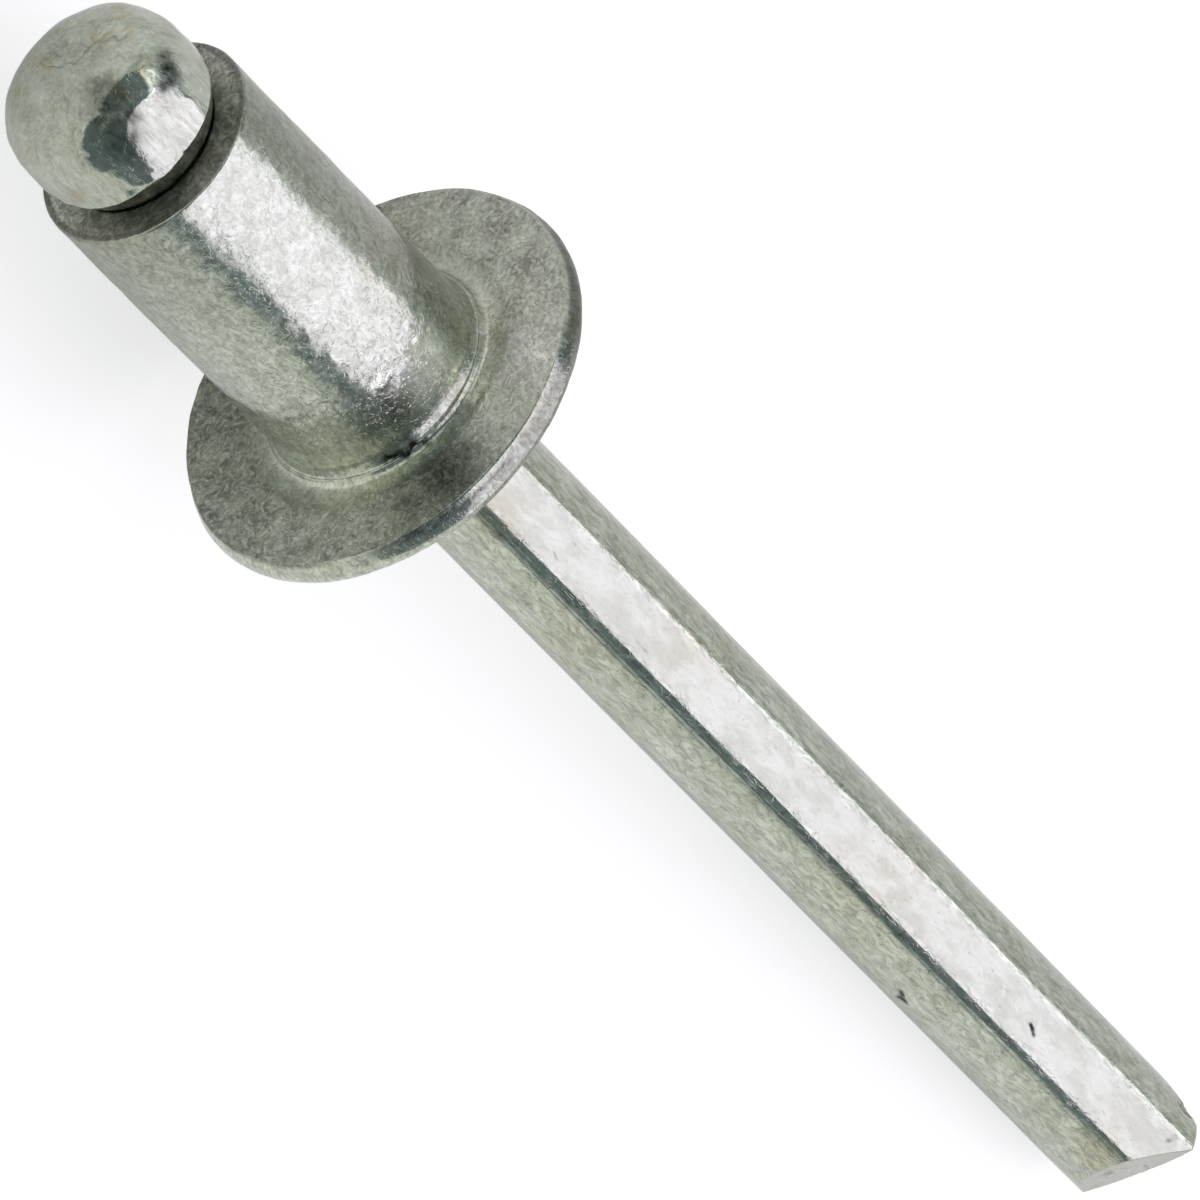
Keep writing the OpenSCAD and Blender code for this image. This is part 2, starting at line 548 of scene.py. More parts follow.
def body_zones(points, normals, tube_length):
    """The body's zones, by radius and height in millimetres and by how level the surface is."""
    radius, height, _ = around_axis(points)
    level = smooth_step(normals[:, 2], 0.86, 0.97)
    outside = radius > 2.2
    above_foot = height > 0.3
    past_groove = smooth_step(radius, 2.75, 3.2)
    on_seat = smooth_step(height, 0.3, 0.1)
    below_seat = height < -0.1
    return Zones(
        seat=level * past_groove * on_seat,
        end=level * smooth_step(height, tube_length - 0.15, tube_length - 0.05),
        tube=outside & above_foot,
        foot=level * (outside & ~below_seat & (height < 0.6)),
        lip=(radius > 2.41) & (radius < 2.62) & (height > -0.03),
        rim=smooth_step(radius, SEAT_R + 0.01, SEAT_R + 0.07),
        seat_edge=bell(radius, SEAT_R, 0.03) * ~below_seat,
    )


def rubbed_off(turn):
    """Share of the seat's deposit that has been rubbed off, by turn in degrees."""
    near_right = bell(turn, 38, 26)
    near_left = bell(turn, -45, 35)
    far_side = between(turn, (50, 80), (120, 170))
    return 0.4 * near_right + 0.3 * near_left + 0.4 * far_side


def darkened(zones, height, turn):
    """Share by which the body is darkened, by height in millimetres and turn in degrees: with age the
    tube on both sides of its bright band, more so towards its blind end, and with painted shade its far
    left side, where it mirrors the shadow under the rivet; painted shade on the near and the right rim;
    and the lip on the right."""
    upper_half = smooth_step(height, 4.0, 7.5)
    upper_right = smooth_step(turn, 34, 40)
    upper_left = smooth_step(turn, -12, -24)
    right_flank = between(turn, (34, 46), (90, 150))
    left_flank = smooth_step(turn, -14, -30)
    # Painted shade: the tube's far left side mirrors the shadow under the rivet
    far_left = smooth_step(turn, -45, -85)
    tube = 0.3 * right_flank + 0.1 * left_flank + 0.25 * far_left
    tube += upper_half * (0.12 * upper_right + 0.2 * upper_left)
    # Painted shade on the near rim and the right rim
    near_rim = smooth_step(turn, -30, 20)
    right_rim = smooth_step(turn, 42, 52)
    rim = (0.4 * near_rim + 0.3 * right_rim) * (height > -0.6)
    lip = 0.22 * smooth_step(turn, -15, 0)
    return tube * zones.tube + rim * zones.rim + lip * zones.lip


def painted_light(zones, height, turn):
    """Share of painted light by which the body is brighter than its plate, by height in millimetres and
    turn in degrees: a painted highlight on the lower end of the tube, apart from a spot of painted shade
    above the lip, and painted light on the seat."""
    lower_end = smooth_step(height, 2.2, 1.7)
    dark_spot = bell(turn, -10, 14) * smooth_step(height, 1.2, 0.7)
    right_of_spot = smooth_step(turn, 18, 34)
    tube = 0.4 * lower_end * (1 - dark_spot) * (1 - 0.6 * right_of_spot)
    near_right = bell(turn, 30, 26)
    near_left = bell(turn, -45, 35)
    far_side = between(turn, (40, 75), (130, 175))
    seat = 0.68 * near_right + 0.15 * near_left + 0.14 * far_side
    return tube * zones.tube + seat * np.maximum(zones.seat, zones.foot) * (1 - zones.rim)


def body_layers(points, normals, seed, tube_length):
    """Depth of the body's marks, and its layers: deposit, which also paints shade, black dirt and painted
    shade, stain, how worked the plate is, its tone with age, painted light and painted shade (0.5 as it
    is, less is darker) and how grainy it looks."""
    _, height, turn = around_axis(points)
    zones = body_zones(points, normals, tube_length)
    # Matt deposit on the seat, which also paints the seat's dark reflection, less where it is rubbed off
    deposit = 0.95 + 0.2 * ripples(points, 0.9, seed + SEAT_CLOUD_SEED) - rubbed_off(turn)
    depth, dirt_and_shade = marked(points, normals, BODY_SHADED_MARKS)
    dirt = np.clip(0.35 + 0.3 * ripples(points, 2.5, seed + EDGE_DIRT_SEED), 0, 1)
    clean_right = 0.8 * smooth_step(turn, 0, 25)
    dirt *= zones.seat_edge * (1 - clean_right)
    # Painted shade on the seat's dark patch
    dark = zones.seat * blotted(points, normals, BODY_PAINTED_SHADE)
    lower_end = smooth_step(height, 2.4, 1.2)
    # Painted light, less age and painted shade
    light_shade_and_age = painted_light(zones, height, turn) - darkened(zones, height, turn)
    layers = {
        # Dull deposit, also painted shade: the seat's dark reflection and the tube's end under the head
        "dull": np.maximum(zones.seat * deposit, 0.85 * zones.end),
        "dirt_and_shade": np.maximum(dirt_and_shade, np.maximum(dirt, dark)),
        "stain": blotted(points, normals, BODY_STAINS),
        "worked": 0.3 * zones.tube * lower_end + 0.8 * zones.seat,
        "tone": 0.5 * (1 + light_shade_and_age),
        # Less grain where the tube's bright band of reflected light falls, a painted sheen
        "grainy": 1 - 0.45 * zones.tube * between(turn, *TUBE_BAND),
    }
    return depth, layers


# Marks of the mandrel's head: the closed loop of a crease, the curve beside it, scratches, and the
# folds above its lower edge
CREASE_LOOP = ((43, 62), (52, 50), (68, 43), (86, 44), (90, 50), (76, 60), (60, 67), (48, 68), (43, 62))
HEAD_MARKS = (
    Mark(CREASE_LOOP, 0.024, 0.02, 0.3),
    Mark(((90, 46), (106, 40), (124, 39)), 0.028, 0.02, 0.3),
    Mark(((50, 52), (60, 56), (72, 50)), 0.02, 0.012, 0.25),
    Mark(((104, 22), (116, 19), (127, 27)), 0.024, 0.012, 0.2),
    Mark(((66, 30), (80, 24), (92, 27)), 0.022, 0.01, 0.17),
    Mark(((52, 92), (55, 118)), 0.028, 0.016, 0.23),
    Mark(((66, 95), (69, 118), (74, 136)), 0.03, 0.018, 0.25),
    Mark(((80, 92), (84, 128)), 0.03, 0.016, 0.2),
    Mark(((58, 134), (70, 138), (82, 132)), 0.024, 0.012, 0.2),
    Mark(((44, 150), (60, 158), (84, 160)), 0.03, 0.014, 0.2),
    Mark(((24, 112), (30, 128), (40, 138)), 0.024, 0.012, 0.15),
    Mark(((138, 70), (142, 58), (146, 50)), 0.03, 0.016, 0.3),
    Mark(((108, 62), (118, 56), (126, 60)), 0.024, 0.012, 0.2),
    Mark(((88, 92), (98, 80), (112, 76)), 0.05, 0.02, 0.25),
    Mark(((128, 80), (132, 98), (142, 110)), 0.03, 0.008, 0.25),
    Mark(((136, 86), (148, 90)), 0.022, 0.01, 0.35),
    Mark(((134, 98), (146, 104), (156, 100)), 0.022, 0.01, 0.35),
    Mark(((146, 70), (152, 78), (160, 76)), 0.02, 0.01, 0.25),
    Mark(((150, 178), (172, 168), (190, 152)), 0.028, 0.02, 0.17),
    Mark(((140, 186), (168, 178), (192, 158)), 0.03, -0.014, 0),
    Mark(((126, 158), (140, 166), (158, 160)), 0.02, 0.01, 0.2),
    Mark(((20, 170), (45, 196), (80, 206), (120, 203)), 0.03, 0.012, 0.1),
)
# Yellow-brown stains of the head
HEAD_STAINS = (
    Blot((121, 14), 10, 0.9),
    Blot((103, 36), 13, 1.0),
    Blot((44, 63), 12, 0.7),
    Blot((19, 94), 9, 0.7),
    Blot((53, 94), 5, 0.8),
    Blot((127, 29), 8, 0.8),
    Blot((144, 68), 9, 0.7),
    Blot((122, 90), 13, 0.95),
    Blot((79, 199), 9, 0.7),
    Blot((25, 150), 14, 0.4),
    Blot((70, 120), 40, 0.2),
)
# Painted shade: the dark wedge beside the shoulder's bright patch, and the dark patch between crown and
# shoulder, painted dark reflections of the head's facets
HEAD_PAINTED_SHADE = (
    Blot((167, 56), 7, 0.85),
    Blot((170, 67), 9, 0.9),
    Blot((174, 79), 10, 0.9),
    Blot((166, 89), 8, 0.8),
    Blot((98, 88), 12, 0.6),
    Blot((108, 84), 10, 0.5),
    Blot((104, 106), 14, 0.7),
    Blot((112, 126), 16, 0.65),
    Blot((122, 146), 17, 0.65),
    Blot((133, 158), 12, 0.6),
    Blot((135, 138), 12, 0.65),
    Blot((135, 118), 11, 0.65),
    Blot((118, 104), 14, 0.55),
    Blot((96, 118), 9, 0.5),
)
# Radii of the head's crown and of its shoulder, in millimetres
CROWN_R = 4.8
SHOULDER_R = 1.12
# Flats of the head: how far each plane lies from the middle of the shoulder's rounding, the angle of
# its normal from the blind end and its turn about the axis from up towards the side
HEAD_FLATS = (
    (1.055, 38, 12),
    (1.068, 49, -13),
    (1.085, 60, 12),
)
# How far the head stands off the wire's axis, downwards, and where that sets in above the tube's end
HEAD_SHIFT = -0.06
SHIFT_FROM = 0.1
SHIFT_TO = 0.5


def flattened(points, sizes):
    """Where a flat cuts the head, the way from each point back to its plane, softened at the edge."""
    softness = 0.006
    reach = sizes.head_radius / MM - SHOULDER_R
    crown_z = sizes.tube_length / MM + sizes.head_height / MM - CROWN_R
    middle_z = crown_z + math.sqrt((CROWN_R - SHOULDER_R) ** 2 - reach**2)
    moved = np.zeros_like(points)
    for away, polar, turn in HEAD_FLATS:
        polar = math.radians(polar)
        turn = math.radians(turn)
        across = np.array([math.cos(turn), math.sin(turn), 0.0])
        normal = math.sin(polar) * across + math.cos(polar) * np.array([0.0, 0.0, 1.0])
        middle = reach * across + np.array([0.0, 0.0, middle_z])
        over = (points + moved - middle) @ normal - away
        cut = softness * np.logaddexp(0.0, over / softness)
        moved -= cut[:, None] * normal
    return moved


def head_profile(sizes):
    """Section of the mandrel in millimetres, from the top of its crown down its side and its breaking
    neck to the full wire below the flange. The last number of a stretch counts its points."""
    length = sizes.tube_length / MM
    top = length + sizes.head_height / MM
    wire_r = sizes.wire_radius / MM
    head_r = sizes.head_radius / MM
    lower_round = 0.14
    bearing_r = 1.62
    taper_h = 0.5
    mouth = 0.12
    neck_r = 1.0
    neck_z = length - 1.3
    neck_half = 0.15
    cone_h = wire_r - neck_r
    crown_z = top - CROWN_R
    shoulder_x = head_r - SHOULDER_R
    shoulder_z = crown_z + math.sqrt((CROWN_R - SHOULDER_R) ** 2 - shoulder_x**2)
    crown_edge = math.degrees(math.atan2(shoulder_x, shoulder_z - crown_z))
    lower = (head_r - lower_round, length + taper_h + lower_round)
    rounding = arc(lower, lower_round, 0, -40, 7)
    return joined(
        arc((0, crown_z), CROWN_R, 90, 90 - crown_edge, 30)[1:],
        arc((shoulder_x, shoulder_z), SHOULDER_R, 90 - crown_edge, 0, 36),
        line((head_r, shoulder_z), (head_r, lower[1]), 14),
        rounding,
        line(rounding[-1], (bearing_r, length), 10),
        line((bearing_r, length), (wire_r, length), 4),
        line((wire_r, length), (wire_r, length - mouth), 2),
        line((wire_r, length - mouth), (wire_r, neck_z + neck_half + cone_h), 3),
        line((wire_r, neck_z + neck_half + cone_h), (neck_r, neck_z + neck_half), 4),
        line((neck_r, neck_z + neck_half), (neck_r, neck_z - neck_half), 3),
        line((neck_r, neck_z - neck_half), (wire_r, neck_z - neck_half - cone_h), 4),
        line((wire_r, neck_z - neck_half - cone_h), (wire_r, WIRE_FROM), 10),
    )


# Height at which the wire's own grid takes over from the head's profile
WIRE_FROM = -1.6
# The pinched end: turn about the wire, slopes of the bevels, width of the ridge, its distance from the
# axis and the radius by which it bows out
CUT_TURN = math.radians(-32)
UPPER_BEVEL = math.radians(59)
LOWER_BEVEL = math.radians(58)
RIDGE_W = 0.2
RIDGE_OFF = 0.29
RIDGE_BOW = 3.3
# Pit and nick of the wire, two small scratches, and marks on its bevel
WIRE_MARKS = (
    Mark(((1029, 1024), (1035, 1031)), 0.045, 0.03, 1.8),
    Mark(((899, 993), (903, 1000)), 0.04, 0.03, 1.5),
    Mark(((640, 640), (648, 650)), 0.02, 0.012, 0.5),
    Mark(((556, 554), (558, 559)), 0.02, 0.012, 0.6),
    Mark(((1145, 1167), (1150, 1169)), 0.03, 0.02, 0.7),
    Mark(((1105, 1175), (1110, 1172)), 0.03, 0.02, 0.6),
    Mark(((1168, 1142), (1176, 1138)), 0.035, 0.02, 0.7),
    Mark(((1186, 1106), (1189, 1116)), 0.05, 0.04, 0.3),
)
# Yellow-brown stains of the wire
WIRE_STAINS = (
    Blot((500, 520), 25, 0.5),
    Blot((560, 640), 45, 0.35),
    Blot((700, 640), 40, 0.3),
    Blot((860, 900), 60, 0.25),
    Blot((1100, 1150), 30, 0.5),
)


def cut_end(across, length):
    """Height of the pinched end over points (up, side) of the wire's section: the highest of two
    bevels, which meet in a blunt ridge, and of a sphere by which the ridge bows out."""
    x = across[:, 0] * math.cos(CUT_TURN) + across[:, 1] * math.sin(CUT_TURN)
    upper = (x - RIDGE_OFF - RIDGE_W / 2) * math.tan(UPPER_BEVEL)
    lower = (RIDGE_OFF - RIDGE_W / 2 - x) * math.tan(LOWER_BEVEL)
    bow = RIDGE_BOW - np.sqrt(RIDGE_BOW**2 - (across**2).sum(1))
    return -length + np.maximum(np.maximum(upper, lower), bow)


def wire_points(sizes, columns):
    """The wire from below the flange to its pinched end: rings whose height runs from a level ring to
    the cut's outline, and then rings that shrink to a point over the cut itself."""
    wire_r = sizes.wire_radius / MM
    length = sizes.wire_length / MM
    level_rows = 230
    slanted_rows = 20
    cap_rows = 26
    clear_of_cut = 0.4
    rounded_edge = 0.985
    turn = np.linspace(0, 2 * math.pi, columns, endpoint=False)
    ring = np.stack([np.cos(turn), np.sin(turn)], 1)
    outline = cut_end(ring * wire_r, length)
    level_end = outline.max() + clear_of_cut
    level = np.linspace(WIRE_FROM, level_end, level_rows)[1:]
    share = np.concatenate([np.linspace(0, 1, slanted_rows + 2)[1:-1], [rounded_edge, 1.0]])
    shrink = np.linspace(1, 0, cap_rows)[1:-1]
    radius = np.concatenate([np.ones(len(level) + len(share)), shrink]) * wire_r
    across = radius[:, None, None] * ring[None]
    height = np.empty((len(radius), columns))
    height[: len(level)] = level[:, None]
    cap_from = len(level) + len(share)
    height[len(level) : cap_from] = level_end + share[:, None] * (outline - level_end)[None]
    cap = across[cap_from:].reshape(-1, 2)
    height[cap_from:] = cut_end(cap, length).reshape(len(shrink), columns)
    points = np.concatenate([across, height[..., None]], 2).reshape(-1, 3)
    normals = np.zeros_like(points)
    normals[:, :2] = points[:, :2] / np.hypot(points[:, 0], points[:, 1])[:, None]
    return points, normals, len(radius)


def mandrel_layers(points, normals, seed, tube_length):
    """Depth of the mandrel's marks, and its layers: deposit on the head, with painted shade most on its
    underside, black dirt and painted shade, stain, how worked the plate is, its tone with painted light
    on the head (0.5 as it is, less is darker) and how grainy it looks."""
    bevel_r = 1.44
    bevel_from = -20
    radius, height, turn = around_axis(points)
    on_head = height > tube_length
    on_bevel = (radius < bevel_r) & (height < bevel_from)
    head_depth, head_dirt_and_shade = marked(points, normals, HEAD_MARKS)
    wire_depth, wire_dirt_and_shade = marked(points, normals, WIRE_MARKS)
    # Painted shade on the head's dark wedge and dark patch
    dark = blotted(points, normals, HEAD_PAINTED_SHADE)
    head_stain = blotted(points, normals, HEAD_STAINS)
    wire_stain = blotted(points, normals, WIRE_STAINS)
    cloud = 0.12 + 0.1 * ripples(points, 0.8, seed + HEAD_CLOUD_SEED)
    underside = smooth_step(-normals[:, 2], 0.3, 0.6)
    # Painted light: the head's tone is lighter towards the softbox's side
    head_tone_lit_side = 0.45 + 0.1 * smooth_step(points[:, 1], -0.5, 1.5)
    # Less grain where the wire's bright band of reflected light falls, a painted sheen
    smoother_in_bright_band = 0.85 * between(turn, *WIRE_BAND)
    layers = {
        # Deposit on the head, and painted shade on its underside
        "dull": on_head * (cloud + underside),
        "dirt_and_shade": np.where(on_head, np.maximum(head_dirt_and_shade, dark), wire_dirt_and_shade),
        "stain": np.where(on_head, head_stain, wire_stain),
        "worked": 0.5 * on_head,
        "tone": np.where(on_head, head_tone_lit_side, np.where(on_bevel, 0.4, 0.475)),
        "grainy": 1 - np.where(on_head, 0.5, smoother_in_bright_band),
    }
    return np.where(on_head, head_depth, wire_depth), layers


def node(tree, kind, inputs=None, **settings):
    """Adds a shader node with its settings. An input that is a socket is linked, any other is set."""
    made = tree.nodes.new("ShaderNode" + kind)
    for name, value in settings.items():
        setattr(made, name, value)
    for name, value in (inputs or {}).items():
        if isinstance(value, bpy.types.NodeSocket):
            tree.links.new(value, made.inputs[name])
        else:
            made.inputs[name].default_value = value
    return made


def math_node(tree, operation, *values):
    """One arithmetic step on numbers."""
    return node(tree, "Math", dict(enumerate(values)), operation=operation).outputs[0]


def vector_node(tree, operation, *values):
    """One arithmetic step on vectors."""
    return node(tree, "VectorMath", dict(enumerate(values)), operation=operation).outputs[0]


def noise(tree, place, scale, detail, output="Fac"):
    """Noise with so many features to the millimetre."""
    inputs = {"Vector": place, "Scale": scale, "Detail": detail, "Roughness": 0.6}
    return node(tree, "TexNoise", inputs).outputs[output]


def eased(tree, value, low, high, start=0.0, end=1.0):
    """From start at low to end at high, with level ends."""
    inputs = {"Value": value, "From Min": low, "From Max": high, "To Min": start, "To Max": end}
    return node(tree, "MapRange", inputs, interpolation_type="SMOOTHSTEP").outputs[0]


def blended(tree, share, first, second):
    """Two colours mixed by a share."""
    inputs = {0: share, 6: first, 7: second}
    return node(tree, "Mix", inputs, data_type="RGBA").outputs[2]


def layer(tree, name):
    """A piece's own numbers of that name."""
    return node(tree, "Attribute", attribute_name=name).outputs["Fac"]


def solid(color, share=1.0):
    """A colour for a socket, darkened by a share."""
    return (color[0] * share, color[1] * share, color[2] * share, 1.0)


def rivet_place(tree):
    """Millimetres along the upright rivet's own axes, from the object's coordinates."""
    laid = Matrix(np.stack([UP, SIDE, BLIND], 1).tolist()).to_euler()
    inputs = {
        "Vector": node(tree, "TexCoord").outputs["Object"],
        "Location": tuple(SEAT),
        "Rotation": laid,
        "Scale": (MM, MM, MM),
    }
    return node(tree, "Mapping", inputs, vector_type="TEXTURE").outputs[0]


def new_material(name):
    """A node material with only its output."""
    material = bpy.data.materials.new(name)
    material.use_nodes = True
    material.node_tree.nodes.clear()
    return material


class Plate(NamedTuple):
    """How the plate of one piece is worked: how far its crystals and its drawing tilt the surface, how
    deep its cuts are in millimetres and how dark, how its pattern is squeezed along the axis (less is
    longer), and how rough it is."""

    tilt: float
    drawn_tilt: float
    cut_depth: float
    cut_shade: float
    squeeze: float
    roughness: float


TUBE_PLATE = Plate(0.12, 0.03, 0.0024, 0.17, 1.0, 0.18)
MANDREL_PLATE = Plate(0.02, 0.14, 0.0007, 0.24, 0.45, 0.08)


def even(tree, value):
    """One number as all three parts of a vector or a colour."""
    return node(tree, "CombineXYZ", {0: value, 1: value, 2: value}).outputs[0]


def tilting(tree, pattern, reach):
    """A noise's colour as a tilt either way, times a reach."""
    middle = (0.5, 0.5, 0.5)
    return vector_node(tree, "MULTIPLY", vector_node(tree, "SUBTRACT", pattern, middle), reach)


def contour(tree, pattern, level, width, gaps):
    """The contour line of a noise at one level, with its width and its gaps."""
    away = math_node(tree, "ABSOLUTE", math_node(tree, "SUBTRACT", pattern, level))
    return math_node(tree, "MULTIPLY", eased(tree, away, 0.0, width, 1.0, 0.0), gaps)


def fine_cuts(tree, place, swirled):
    """Long and short cuts: the contour lines of two noises, with gaps from two others."""
    long_gaps = eased(tree, noise(tree, place, 6.0, 1.0), 0.47, 0.62)
    short_gaps = eased(tree, noise(tree, place, 7.7, 1.0), 0.46, 0.62)
    long_cuts = contour(tree, noise(tree, swirled, 4.6, 1.5), 0.5, 0.035, long_gaps)
    short_cuts = contour(tree, noise(tree, swirled, 7.5, 1.0), 0.47, 0.04, short_gaps)
    return math_node(tree, "MAXIMUM", long_cuts, short_cuts)


def plate_normal(tree, plate, place, swirled, cuts):
    """Crystals tilt the surface in flakes, more so where it is worked, drawing tilts it in lines along
    the axis, and the cuts are grooves."""
    long_drawn = (1.0, 1.0, 0.03)
    worked = math_node(tree, "MULTIPLY_ADD", layer(tree, "worked"), 2.5, 1.0)
    reach = vector_node(tree, "MULTIPLY", even(tree, worked), (plate.tilt,) * 3)
    crystals = tilting(tree, noise(tree, swirled, 6.5, 2.0, "Color"), reach)
    drawn = noise(tree, vector_node(tree, "MULTIPLY", place, long_drawn), 20.0, 2.0, "Color")
    drawn = tilting(tree, drawn, (plate.drawn_tilt,) * 3)
    deep = math_node(tree, "MULTIPLY", worked, plate.cut_depth * MM)
    height = math_node(tree, "MULTIPLY", cuts, -1.0)
    grooved = node(tree, "Bump", {"Height": height, "Distance": deep, "Strength": 1.0}).outputs[0]
    tilted = vector_node(tree, "ADD", vector_node(tree, "ADD", crystals, drawn), grooved)
    return vector_node(tree, "NORMALIZE", tilted)


def deposit_and_shade_color(tree, finish, swirled):
    """Cloudy matt deposit, which also paints shade, through which the bare plate shows in spots."""
    cloudy = eased(tree, noise(tree, swirled, 5.5, 5.0), 0.3, 0.7, 0.5, 1.35)
    deposit = vector_node(tree, "MULTIPLY", even(tree, cloudy), tuple(finish.dull_and_shade_color))
    bare = eased(tree, noise(tree, swirled, 8.5, 2.0), 0.54, 0.64, 0.0, 0.75)
    return blended(tree, bare, deposit, solid(finish.plate_color, 0.95))


def plate_color(tree, plate, finish, place, swirled, cuts):
    """Clean plate with mottles and specks, under the piece's stains and its deposit with painted shade,
    with dark cuts.
    """
    mottles = eased(tree, noise(tree, swirled, 2.2, 4.0), 0.38, 0.62)
    specks = eased(tree, noise(tree, place, 11.0, 2.0), 0.67, 0.72, 0.0, 0.3)
    stain = eased(tree, noise(tree, swirled, 3.0, 3.0), 0.3, 0.62)
    stain = math_node(tree, "MULTIPLY", layer(tree, "stain"), stain)
    dull = math_node(tree, "MULTIPLY", layer(tree, "dull"), 0.95)
    least_shade = 0.2 * plate.cut_shade
    grainy_shade = 1.4 * plate.cut_shade
    shade = math_node(tree, "MULTIPLY_ADD", layer(tree, "grainy"), grainy_shade, least_shade)
    shade = math_node(tree, "MULTIPLY", cuts, shade)
    color = blended(tree, mottles, solid(finish.plate_color), solid(finish.mottle_color))
    color = blended(tree, specks, color, solid(finish.dull_and_shade_color, 0.5))
    color = blended(tree, stain, color, solid(finish.stain_color))
    color = blended(tree, dull, color, deposit_and_shade_color(tree, finish, swirled))
    return blended(tree, shade, color, solid(finish.dull_and_shade_color, 0.35))


def toned(tree, color, swirled):
    """A colour times twice the piece's tone, which carries its painted light and shade, with short
    strokes where the piece is grainy. Where its tone is bright the colour turns towards a neutral grey."""
    neutral = (0.47, 0.47, 0.445, 1.0)
    stroke_length = (1.0, 1.0, 0.5)
    tone = layer(tree, "tone")
    strokes = noise(tree, vector_node(tree, "MULTIPLY", swirled, stroke_length), 11.0, 3.0)
    strokes = eased(tree, strokes, 0.3, 0.7, -0.24, 0.24)
    share = math_node(tree, "MULTIPLY_ADD", strokes, layer(tree, "grainy"), 1.0)
    share = math_node(tree, "MULTIPLY", share, math_node(tree, "MULTIPLY", tone, 2.0))
    color = blended(tree, eased(tree, tone, 0.5, 0.8, 0.0, 0.6), color, neutral)
    return vector_node(tree, "MULTIPLY", color, even(tree, share))


def zinc_material(name, finish, plate):
    """Tumbled zinc plate. Its patterns are noises whose place is swirled by a coarser noise, and the
    piece's own layers say where it is stained, dull with deposit and painted shade, black with dirt and
    painted shade, worked, darker or brighter with age and painted light and shade, and grainy."""
    swirl_reach = (0.35, 0.35, 0.35)
    material = new_material(name)
    tree = material.node_tree
    place = vector_node(tree, "MULTIPLY", rivet_place(tree), (1.0, 1.0, plate.squeeze))
    swirl = noise(tree, place, 3.0, 1.0, "Color")
    swirled = vector_node(tree, "MULTIPLY_ADD", swirl, swirl_reach, place)
    cuts = fine_cuts(tree, place, swirled)
    grain = eased(tree, noise(tree, swirled, 7.0, 3.0), 0.3, 0.7, 1.35, 0.75)
    # Black of dirt and of painted shade, broken up by grain
    inputs = {0: layer(tree, "dirt_and_shade"), 1: grain}
    dirt_and_shade = node(tree, "Math", inputs, operation="MULTIPLY", use_clamp=True).outputs[0]
    color = toned(tree, plate_color(tree, plate, finish, place, swirled, cuts), swirled)
    rough = noise(tree, swirled, 5.0, 3.0)
    rough = eased(tree, rough, 0.3, 0.7, plate.roughness - 0.04, plate.roughness + 0.06)
    rough = math_node(tree, "MULTIPLY_ADD", layer(tree, "dull"), 0.25, rough)
    inputs = {
        "Metallic": 1.0,
        "Base Color": blended(tree, dirt_and_shade, color, solid(finish.dirt_and_shade_color)),
        "Roughness": math_node(tree, "MULTIPLY_ADD", dirt_and_shade, 0.12, rough),
        "Normal": plate_normal(tree, plate, place, swirled, cuts),
    }
    metal = node(tree, "BsdfPrincipled", inputs)
    node(tree, "OutputMaterial", {"Surface": metal.outputs["BSDF"]})
    return material


class RIVET_OT_body(bpy.types.Operator):
    """Builds the tube with its flange"""

    bl_idname = "rivet.body"
    bl_label = "Tube and Flange"

    def execute(self, context):
        sizes = context.scene.rivet_sizes
        finish = context.scene.rivet_finish
        profile = body_profile(sizes)
        points, normals = revolved(profile, TUBE_COLUMNS, True)
        depth, layers = body_layers(points, normals, finish.seed, sizes.tube_length / MM)
        lift = tumbled(points, finish.seed, TUBE_WAVES) - depth
        points = points + normals * lift[:, None]
        quads = ring_faces(len(profile), TUBE_COLUMNS, True)
        piece = surface("tube_and_flange", points, quads, layers=layers)
        piece.data.materials.append(zinc_material("body_zinc", finish, TUBE_PLATE))
        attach(piece, "root")
        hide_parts("rivet_body")
        return {"FINISHED"}


class RIVET_OT_mandrel(bpy.types.Operator):
    """Builds the mandrel with its head and its pinched end"""

    bl_idname = "rivet.mandrel"
    bl_label = "Mandrel"

    def execute(self, context):
        sizes = context.scene.rivet_sizes
        finish = context.scene.rivet_finish
        tube_length = sizes.tube_length / MM
        profile = head_profile(sizes)
        head, head_normals = revolved(profile, MANDREL_COLUMNS, False)
        wire, wire_normals, wire_rows = wire_points(sizes, MANDREL_COLUMNS)
        top = np.array([[0.0, 0.0, tube_length + sizes.head_height / MM]])
        tail = np.array([[0.0, 0.0, cut_end(np.zeros((1, 2)), sizes.wire_length / MM)[0]]])
        points = np.concatenate([head, wire, top, tail])
        normals = np.concatenate([-head_normals, wire_normals, [[0.0, 0.0, 1.0]], [[0.0, 0.0, -1.0]]])
        depth, layers = mandrel_layers(points, normals, finish.seed, tube_length)
        on_head = smooth_step(points[:, 2], tube_length + SHIFT_FROM, tube_length + SHIFT_TO)
        hammered = tumbled(points, finish.seed + HEAD_SEED, HEAD_WAVES)
        rolled = tumbled(points, finish.seed + WIRE_SEED, WIRE_WAVES)
        lift = on_head * hammered + (1 - on_head) * rolled - depth
        points = points + on_head[:, None] * flattened(points, sizes) + normals * lift[:, None]
        points[:, 0] += HEAD_SHIFT * on_head
        rows = len(profile) + wire_rows
        top_at = rows * MANDREL_COLUMNS
        fans = [
            fan_faces(0, MANDREL_COLUMNS, top_at, False),
            fan_faces((rows - 1) * MANDREL_COLUMNS, MANDREL_COLUMNS, top_at + 1, True),
        ]
        quads = ring_faces(rows, MANDREL_COLUMNS, False)[:, ::-1]
        piece = surface("headed_mandrel", points, quads, fans, layers)
        piece.data.materials.append(zinc_material("mandrel_zinc", finish, MANDREL_PLATE))
        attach(piece, "root")
        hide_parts("mandrel")
        return {"FINISHED"}


